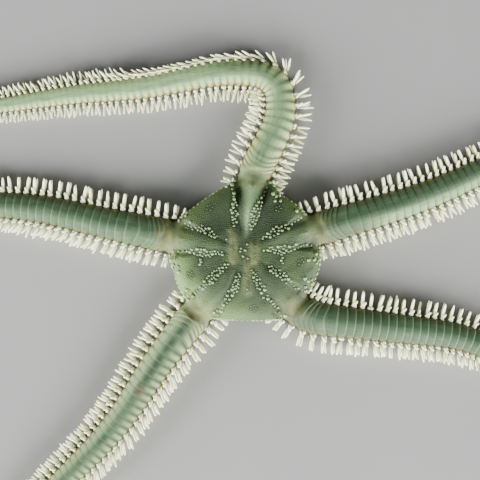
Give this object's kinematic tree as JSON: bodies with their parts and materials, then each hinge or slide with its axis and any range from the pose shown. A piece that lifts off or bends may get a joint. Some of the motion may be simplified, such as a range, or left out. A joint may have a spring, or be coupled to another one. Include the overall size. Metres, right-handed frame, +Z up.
{
  "type": "brittle star",
  "caption": "Green brittle star lying flat: a five-sided disc with rows of granules, and long jointed arms fringed with blunt spines, one arm hooked.",
  "frame": {"origin": "middle of the outstretched animal's bounding box, on the floor that it lies on; the disc's centre is 8 mm along +X and 31 mm along +Y from it", "axes": "+Z up from the mouth side to the back; +X along the greatest spread of the arms; +Y completes the frame, and is the way the hooked arm leaves the disc"},
  "size_m": [0.3699, 0.2376, 0.0093],
  "materials": {
    "disc": "matt granular skin, olive green with pale granules",
    "arm": "satin plates, grey green, with cream spines",
    "jaw": "satin cream"
  },
  "bodies": {
    "root": {"disc": "disc", "jaw_1": "jaw", "jaw_2": "jaw", "jaw_3": "jaw", "jaw_4": "jaw", "jaw_5": "jaw", "arm_1_base": "arm", "arm_1_bend": "arm", "arm_1_middle": "arm", "arm_1_outer": "arm", "arm_1_tip": "arm", "arm_2_base": "arm", "arm_2_middle": "arm", "arm_2_outer": "arm", "arm_2_tip": "arm", "arm_3_base": "arm", "arm_3_middle": "arm", "arm_3_outer": "arm", "arm_3_tip": "arm", "arm_4_base": "arm", "arm_4_middle": "arm", "arm_4_outer": "arm", "arm_4_tip": "arm", "arm_5_base": "arm", "arm_5_middle": "arm", "arm_5_outer": "arm", "arm_5_tip": "arm"}
  },
  "joints": []
}
